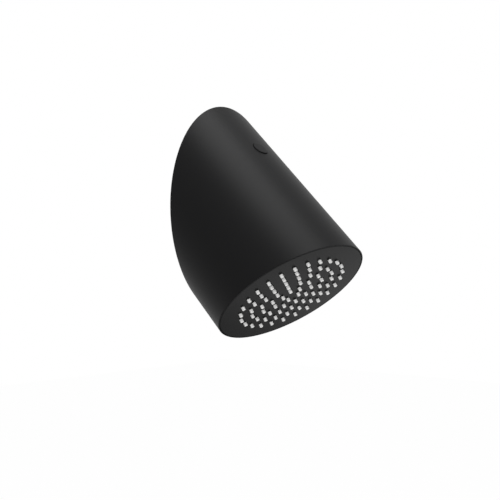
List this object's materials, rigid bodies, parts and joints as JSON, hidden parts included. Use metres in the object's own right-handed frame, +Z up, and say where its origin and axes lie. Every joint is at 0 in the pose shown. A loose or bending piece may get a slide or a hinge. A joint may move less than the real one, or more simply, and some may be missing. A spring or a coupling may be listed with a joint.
{
  "type": "shower head",
  "caption": "Wall-fixed shower head: a round matt black body that slopes out and down from the wall, with a flat spray face of soft nozzles and a threaded inlet behind.",
  "frame": {"origin": "inlet axis at the wall plane", "axes": "+Y into the wall along the inlet, +Z up, +X to the right as seen from the room"},
  "size_m": [0.1, 0.1121, 0.1538],
  "materials": {
    "body_paint": "matt black",
    "plate_black": "fine matt",
    "silicone_grey": "satin",
    "cover_plastic": "moulded",
    "brass": "machined",
    "steel": "turned",
    "seal_black": "matt",
    "fibre_red": "matt",
    "plug_black": "matt",
    "regulator_white": "moulded"
  },
  "bodies": {
    "root": {"body_shell": "body_paint", "wall_gasket": "seal_black", "face_plate": "plate_black", "nozzle_mat": "silicone_grey", "chamber_cover": "cover_plastic", "chamber_screws": "steel", "flow_spreader": "cover_plastic", "stem_seal": "fibre_red", "union_nut": "brass", "outlet_pipe": "brass", "manifold": "brass", "manifold_screws": "steel", "set_screw": "steel", "hole_plug": "plug_black", "inlet_nipple": "brass", "nipple_o_rings": "seal_black", "wall_washer": "fibre_red", "flow_regulator": "regulator_white", "regulator_seal": "seal_black", "filter_screen": "steel"}
  },
  "joints": []
}
